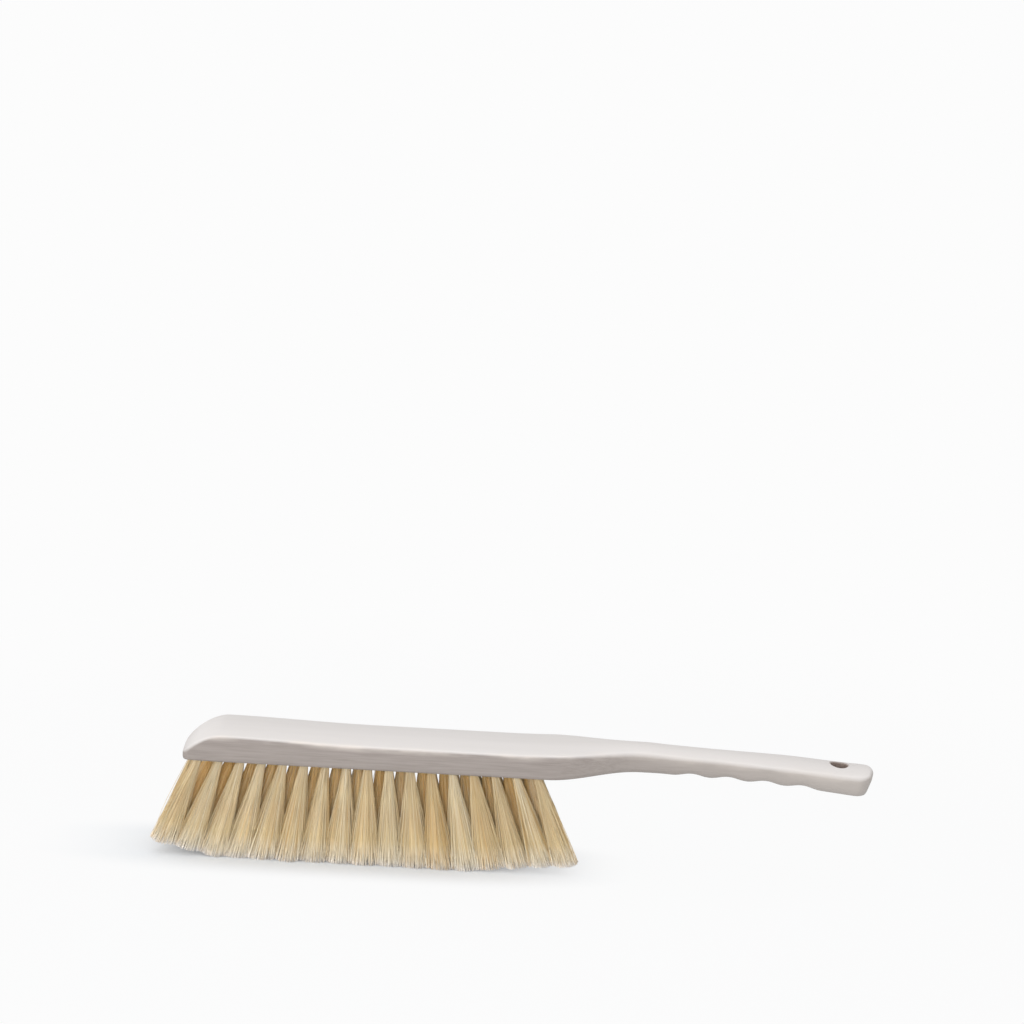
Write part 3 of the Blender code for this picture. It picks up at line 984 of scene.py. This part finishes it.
def tuft_mesh(name, tuft):
    """All folded fibres of one tuft round its inner bundle."""
    skin = {"points": [], "faces": [], "uv": [], "along": [], "shade": []}
    add_core(skin, tuft)
    for u, v in bundle_places():
        points, along, lock_shade = fibre_path(tuft, u, v)
        own_shade = tuft.chance.gauss(0, FIBRE_SHADE_SPREAD)
        value = 0.5 + 0.5 * (LOCK_SHADE_SHARE * lock_shade + tuft.shade + own_shade)
        # Fibres at the tuft's sides darker: painted shade
        value -= SIDE_PAINTED_SHADE * max(0, abs(u) - SIDE_SHADE_FROM) / (1 - SIDE_SHADE_FROM)
        level = shade_level(value)
        shade = (level + 0.5) / SHADES
        add_fibre(skin, points, along, shade, level, tuft.chance.uniform(0, 2))
    mesh = bpy.data.meshes.new(name)
    mesh.from_pydata(skin["points"], [], skin["faces"])
    # Middle row marked, so that its colour takes the painted shade
    skin["inner"] = [1.0 if tuft.row == "middle" else 0.0] * len(skin["points"])
    for key in ("along", "shade", "inner"):
        layer = mesh.attributes.new(key, "FLOAT", "POINT")
        layer.data.foreach_set("value", skin[key])
    flat = mesh.uv_layers.new(name="OFBake")
    flat.data.foreach_set("uv", skin["uv"])
    mesh.shade_smooth()
    return mesh


def make_tufts(places):
    """Every tuft, in the place of its solid."""
    made = bristle_material()
    for row, number, mouth, tip in places:
        name = f"fibres_{row}_{number:02d}"
        tuft = Tuft(row, number, mouth, tip)
        piece = add_object(name, tuft_mesh(name, tuft), made)
        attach(piece, "root")
        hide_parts(f"tuft_{row}_{number:02d}")


def staple_path(mouth, tip):
    """Points of a staple's wire: down one leg, across under the fold, and up the other."""
    axis = (tip - mouth).normalized()
    first, second = frame_along(axis)
    half = STAPLE_SPAN / 2 - WIRE_BEND
    points = []
    corner_depth = STAPLE_DEPTH + WIRE_BEND
    leg_end = mouth - axis * (STAPLE_DEPTH + STAPLE_LEG)
    points.append(leg_end - second * (half + WIRE_BEND))
    for sign in (-1, 1):
        for step in range(WIRE_BEND_STEPS + 1):
            share = step / WIRE_BEND_STEPS if sign < 0 else 1 - step / WIRE_BEND_STEPS
            turn = math.pi / 2 * share
            out = half + WIRE_BEND * math.cos(turn)
            depth = corner_depth - WIRE_BEND * math.sin(turn)
            points.append(mouth - axis * depth + second * sign * out)
    points.append(leg_end + second * (half + WIRE_BEND))
    return points, first


def staple_mesh(name, mouth, tip):
    """A staple of round wire."""
    points, square = staple_path(mouth, tip)
    made = bmesh.new()
    loops = []
    for i, place in enumerate(points):
        ahead = points[min(i + 1, len(points) - 1)] - points[max(i - 1, 0)]
        across = ahead.normalized().cross(square)
        loops.append(ring(made, place, square, across, WIRE_RADIUS, WIRE_SIDES))
    for before, after in zip(loops, loops[1:]):
        join_rings(made, before, after)
    for loop in (loops[0], loops[-1]):
        made.faces.new(loop)
    mesh = outward_mesh(made, name)
    mesh.shade_smooth()
    return mesh


def make_staples(places):
    """One staple in the bottom of each hole."""
    made = steel_material()
    for row, number, mouth, tip in places:
        name = f"staple_{row}_{number:02d}"
        piece = add_object(name, staple_mesh(name, mouth, tip), made)
        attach(piece, "root")


def new_material(name, roughness):
    """A Principled material: the tree, its shader and a helper that adds nodes."""
    made = bpy.data.materials.new(name)
    made.use_nodes = True
    tree = made.node_tree
    shader = tree.nodes["Principled BSDF"]
    shader.inputs["Roughness"].default_value = roughness

    def add(kind, inputs=(), **settings):
        node = tree.nodes.new(kind)
        for key, value in settings.items():
            setattr(node, key, value)
        for socket, value in dict(inputs).items():
            if isinstance(value, bpy.types.NodeSocket):
                tree.links.new(value, node.inputs[socket])
            else:
                node.inputs[socket].default_value = value
        return node

    return made, tree, shader, add


def grain(add, place, scale, detail, rough):
    """Noise drawn out along the length of the wood."""
    stretched = add("ShaderNodeMapping", {"Vector": place, "Scale": scale})
    noise = add(
        "ShaderNodeTexNoise",
        {"Vector": stretched.outputs["Vector"], "Scale": 1.0, "Detail": detail, "Roughness": rough},
    )
    return noise.outputs["Fac"]


def mix_colours(add, factor, first, second, way="MIX"):
    """Colour mix of two colours or links."""
    node = add("ShaderNodeMix", data_type="RGBA", blend_type=way)
    tree = node.id_data
    for socket, value in ((0, factor), (6, first), (7, second)):
        if isinstance(value, bpy.types.NodeSocket):
            tree.links.new(value, node.inputs[socket])
        else:
            node.inputs[socket].default_value = value
    return node.outputs[2]


def spread(add, value, low, high, to_low, to_high):
    """Map a range of a value to another range."""
    node = add(
        "ShaderNodeMapRange",
        {"Value": value, "From Min": low, "From Max": high, "To Min": to_low, "To Max": to_high},
    )
    return node.outputs["Result"]


def wood_material():
    """Whitewashed wood: pale and smooth on top, lined and greyer on the sides with painted shade, rubbed
    at the edges with a painted highlight, dark brown in the hang hole.
    """
    made, tree, shader, add = new_material("whitewash", 0.6)
    coordinates = add("ShaderNodeTexCoord")
    place = coordinates.outputs["Object"]
    fine = grain(add, place, *FINE_GRAIN)
    broad = grain(add, place, *BROAD_GRAIN)
    cloud = grain(add, place, *CLOUD_GRAIN)
    facing = add("ShaderNodeSeparateXYZ", {"Vector": coordinates.outputs["Normal"]}).outputs["Z"]
    # Faces turned away from upward take the side colour: painted shade
    flank = spread(add, facing, TOP_FACING, FLANK_FACING, 0.0, 1.0)
    bands = spread(add, broad, *MIDDLE_TONES, 0.0, 1.0)
    top = mix_colours(add, bands, TOP_PAINT_DULL, TOP_PAINT_PALE)
    lines = spread(add, fine, *LINE_TONES, 0.0, 1.0)
    lined_flank_with_shade = mix_colours(add, lines, FLANK_LINE_WITH_SHADE, FLANK_PALE_WITH_SHADE)
    along_x = add("ShaderNodeSeparateXYZ", {"Vector": place}).outputs["X"]
    outward = spread(add, along_x, TAPER_X, END_X, 0.0, 1.0)
    flank_with_shade = mix_colours(add, outward, lined_flank_with_shade, END_FLANK_WITH_SHADE)
    washed_with_side_shade = mix_colours(add, flank, top, flank_with_shade)
    near_edge = add("ShaderNodeAttribute", attribute_name="edge").outputs["Fac"]
    patchy = spread(add, cloud, *PATCH_TONES, 0.0, PATCH_STRENGTH)
    # Rubbed edges, paler than the paint: wear and a painted highlight
    rub_highlight_share = add("ShaderNodeMath", {0: near_edge, 1: patchy}, operation="MULTIPLY").outputs[0]
    edged_with_highlight = mix_colours(add, rub_highlight_share, washed_with_side_shade, RUBBED_EDGE_HIGHLIGHT)
    bore = add("ShaderNodeAttribute", attribute_name="bore").outputs["Fac"]
    hole_tone = mix_colours(add, lines, HOLE_BROWN_DARK, HOLE_BROWN)
    colour = mix_colours(add, bore, edged_with_highlight, hole_tone)
    tree.links.new(colour, shader.inputs["Base Color"])
    gloss = spread(add, fine, *MIDDLE_TONES, *PAINT_ROUGHNESS)
    tree.links.new(gloss, shader.inputs["Roughness"])
    relief = spread(add, flank, 0.0, 1.0, *RELIEF)
    bump = add("ShaderNodeBump", {"Strength": relief, "Distance": RELIEF_HEIGHT, "Height": fine})
    tree.links.new(bump.outputs["Normal"], shader.inputs["Normal"])
    return made


def bristle_material():
    """Straw-coloured fibre, browner at the root and paler at the tip, each fibre a little different; the
    middle row browner and darker with painted shade.
    """
    made, tree, shader, add = new_material("bristle", 0.45)
    along = add("ShaderNodeAttribute", attribute_name="along").outputs["Fac"]
    shade = add("ShaderNodeAttribute", attribute_name="shade").outputs["Fac"]
    ramp = add("ShaderNodeValToRGB", {"Fac": along})
    elements = ramp.color_ramp.elements
    while len(elements) < len(BRISTLE_COLOURS):
        elements.new(0.5)
    for element, (position, colour) in zip(elements, BRISTLE_COLOURS):
        element.position = position
        element.color = colour
    outer_row = ramp.outputs["Color"]
    # Middle row darker and browner towards the root: painted shade
    middle_row_shaded = mix_colours(add, along, INNER_SHADE_ROOT, INNER_SHADE_LOW)
    is_middle = add("ShaderNodeAttribute", attribute_name="inner").outputs["Fac"]
    not_tip = spread(add, along, INNER_SHADE_FADE_FROM, INNER_SHADE_FADE_TO, 1.0, 0.0)
    deep = add("ShaderNodeMath", {0: is_middle, 1: not_tip}, operation="MULTIPLY").outputs[0]
    base = mix_colours(add, deep, outer_row, middle_row_shaded)
    dark = mix_colours(add, 1.0, base, DARK_FIBRE, "MULTIPLY")
    light = mix_colours(add, LIGHT_FIBRE_SHARE, base, LIGHT_FIBRE)
    half = spread(add, shade, 0.0, 0.5, 0.0, 1.0)
    upper = spread(add, shade, 0.5, 1.0, 0.0, 1.0)
    lower = mix_colours(add, half, dark, base)
    colour = mix_colours(add, upper, lower, light)
    tree.links.new(colour, shader.inputs["Base Color"])
    gloss = spread(add, shade, 0.0, 1.0, *FIBRE_ROUGHNESS)
    tree.links.new(gloss, shader.inputs["Roughness"])
    return made


def steel_material():
    """Drawn steel wire."""
    made, tree, shader, add = new_material("staple_wire", 0.35)
    shader.inputs["Metallic"].default_value = 1.0
    place = add("ShaderNodeTexCoord").outputs["Object"]
    noise = add("ShaderNodeTexNoise", {"Vector": place, "Scale": STEEL_GRAIN})
    tone = spread(add, noise.outputs["Fac"], *MIDDLE_TONES, 0.0, 1.0)
    colour = mix_colours(add, tone, STEEL_DARK, STEEL_PALE)
    tree.links.new(colour, shader.inputs["Base Color"])
    gloss = spread(add, noise.outputs["Fac"], *MIDDLE_TONES, *STEEL_ROUGHNESS)
    tree.links.new(gloss, shader.inputs["Roughness"])
    return made


def make_camera():
    """A camera that sees the brush from the picture's side and angle."""
    ahead = Vector((0, math.cos(CAMERA_ELEVATION), -math.sin(CAMERA_ELEVATION)))
    right = Vector((1, 0, 0))
    up = right.cross(ahead)
    rolled_right = right * math.cos(CAMERA_ROLL) + up * math.sin(CAMERA_ROLL)
    rolled_up = up * math.cos(CAMERA_ROLL) - right * math.sin(CAMERA_ROLL)
    middle = PICTURE_SIZE / 2
    seen = Vector(((AIM_PIXEL[0] - middle) / FOCAL_PIXELS, (middle - AIM_PIXEL[1]) / FOCAL_PIXELS, 1))
    turn = Vector((0, 0, 1)).rotation_difference(seen.normalized()).to_matrix()
    axes = []
    for line in turn:
        axes.append(rolled_right * line[0] + rolled_up * line[1] + ahead * line[2])
    place = AIM - ahead * CAMERA_DISTANCE
    grid = Matrix((axes[0], axes[1], -axes[2])).transposed()
    lens = bpy.data.cameras.new("camera")
    lens.sensor_width = SENSOR_WIDTH
    lens.lens = FOCAL_PIXELS * SENSOR_WIDTH / PICTURE_SIZE
    camera = add_object("camera", lens)
    camera.matrix_world = Matrix.Translation(place) @ grid.to_4x4()
    bpy.context.scene.camera = camera


def make_world():
    """Even light from all round, and a near-white background for the camera."""
    world = bpy.data.worlds.new("world")
    bpy.context.scene.world = world
    world.use_nodes = True
    tree = world.node_tree
    light = tree.nodes["Background"]
    light.inputs["Color"].default_value = WORLD_COLOUR
    light.inputs["Strength"].default_value = WORLD_STRENGTH
    white = tree.nodes.new("ShaderNodeBackground")
    white.inputs["Color"].default_value = BACKGROUND
    rays = seen_rays(tree)
    mix = tree.nodes.new("ShaderNodeMixShader")
    tree.links.new(rays, mix.inputs[0])
    tree.links.new(light.outputs[0], mix.inputs[1])
    tree.links.new(white.outputs[0], mix.inputs[2])
    tree.links.new(mix.outputs[0], tree.nodes["World Output"].inputs["Surface"])


def seen_rays(tree):
    """1 for rays that show the background: straight from the camera, mirrored or let through."""
    path = tree.nodes.new("ShaderNodeLightPath")
    total = path.outputs["Is Camera Ray"]
    for name in ("Is Glossy Ray", "Is Transmission Ray"):
        most = tree.nodes.new("ShaderNodeMath")
        most.operation = "MAXIMUM"
        tree.links.new(total, most.inputs[0])
        tree.links.new(path.outputs[name], most.inputs[1])
        total = most.outputs[0]
    return total


def distance_past(tree, centre, reach, stretch):
    """How far a place on the floor is past an upright rectangle, each way counted at its own rate."""
    place = tree.nodes.new("ShaderNodeTexCoord").outputs["Object"]
    steps = (
        ("SUBTRACT", centre),
        ("ABSOLUTE", None),
        ("SUBTRACT", reach),
        ("MAXIMUM", (0, 0, 0)),
        ("MULTIPLY", stretch),
    )
    for operation, value in steps:
        node = tree.nodes.new("ShaderNodeVectorMath")
        node.operation = operation
        tree.links.new(place, node.inputs[0])
        if value:
            node.inputs[1].default_value = value
        place = node.outputs["Vector"]
    far = tree.nodes.new("ShaderNodeVectorMath")
    far.operation = "LENGTH"
    tree.links.new(place, far.inputs[0])
    return far.outputs["Value"]


def fade_out(tree, distance, low, high):
    """A node that goes smoothly from its To Min to its To Max between two distances."""
    node = tree.nodes.new("ShaderNodeMapRange")
    node.interpolation_type = "SMOOTHSTEP"
    tree.links.new(distance, node.inputs["Value"])
    node.inputs["From Min"].default_value = low
    node.inputs["From Max"].default_value = high
    return node


def make_floor():
    """A wide floor that glows near-white, so that the brush's shadow shows only round its bristles."""
    made = bmesh.new()
    bmesh.ops.create_circle(made, cap_ends=True, segments=FLOOR_SIDES, radius=FLOOR_RADIUS)
    mesh = bpy.data.meshes.new("floor")
    made.to_mesh(mesh)
    made.free()
    material = bpy.data.materials.new("floor")
    material.use_nodes = True
    tree = material.node_tree
    plain = tree.nodes["Principled BSDF"]
    plain.inputs["Base Color"].default_value = FLOOR_COLOUR
    plain.inputs["Roughness"].default_value = 1.0
    plain.inputs["Specular IOR Level"].default_value = 0.0
    glow = tree.nodes.new("ShaderNodeEmission")
    glow.inputs["Color"].default_value = BACKGROUND
    from_tips = distance_past(tree, (BLOCK_X - SHADOW_SHIFT, 0, 0), SHADOW_REACH, SHADOW_STRETCH)
    near_glow = fade_out(tree, from_tips, 0.0, SHADOW_FADE)
    near_glow.inputs["To Min"].default_value = SHADOW_GLOW
    near_glow.inputs["To Max"].default_value = OPEN_GLOW
    from_brush = distance_past(tree, (0, 0, 0), (0, 0, 0), (1, 1, 1))
    fade = fade_out(tree, from_brush, OPEN_FROM, OPEN_TO)
    tree.links.new(near_glow.outputs["Result"], fade.inputs["To Min"])
    fade.inputs["To Max"].default_value = 1.0
    seen = tree.nodes.new("ShaderNodeMath")
    seen.operation = "MULTIPLY"
    tree.links.new(seen_rays(tree), seen.inputs[0])
    tree.links.new(fade.outputs["Result"], seen.inputs[1])
    mix = tree.nodes.new("ShaderNodeMixShader")
    tree.links.new(seen.outputs[0], mix.inputs[0])
    tree.links.new(plain.outputs[0], mix.inputs[1])
    tree.links.new(glow.outputs[0], mix.inputs[2])
    tree.links.new(mix.outputs[0], tree.nodes["Material Output"].inputs["Surface"])
    floor = add_object("floor", mesh, material)


def make_lamp(name, size, place, power):
    """A square soft light that faces the brush."""
    lamp = bpy.data.lights.new(name, "AREA")
    lamp.shape = "SQUARE"
    lamp.size = size
    lamp.energy = power
    thing = add_object(name, lamp)
    thing.location = place
    toward = (AIM - place).normalized()
    thing.rotation_euler = toward.to_track_quat("-Z", "Y").to_euler()


def main():
    """Studio first, then the brush piece by piece."""
    bpy.context.scene.view_settings.view_transform = "Standard"
    make_camera()
    make_world()
    make_floor()
    make_lamp("softbox", SOFTBOX_SIZE, SOFTBOX_PLACE, SOFTBOX_POWER)
    make_lamp("fill", FILL_SIZE, FILL_PLACE, FILL_POWER)
    make_lamp("side", SIDE_SIZE, SIDE_PLACE, SIDE_POWER)
    places = tufts()
    make_wood(places)
    make_tufts(places)
    make_staples(places)


main()
